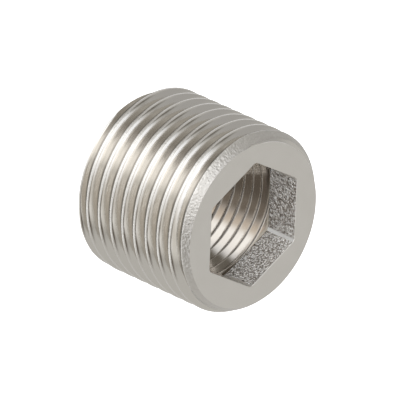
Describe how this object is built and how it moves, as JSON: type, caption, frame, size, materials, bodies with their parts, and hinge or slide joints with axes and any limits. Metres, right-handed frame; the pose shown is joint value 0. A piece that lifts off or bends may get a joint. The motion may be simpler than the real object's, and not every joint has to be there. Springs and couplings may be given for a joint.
{
  "type": "reducing bushing",
  "caption": "Headless reducing bushing, nickel plated: male pipe thread outside, hexagon socket in the front face, smaller female pipe thread from the rear.",
  "frame": {"origin": "centre of the rear face, on the bushing's axis; the bushing stands on that face", "axes": "+Z along the axis from the rear face to the front face with the hexagon socket; +X through a corner of the hexagon"},
  "size_m": [0.021, 0.021, 0.0166],
  "materials": {
    "nickel_plated_brass": "gloss"
  },
  "bodies": {
    "root": {"reducing_bushing": "nickel_plated_brass"}
  },
  "joints": []
}
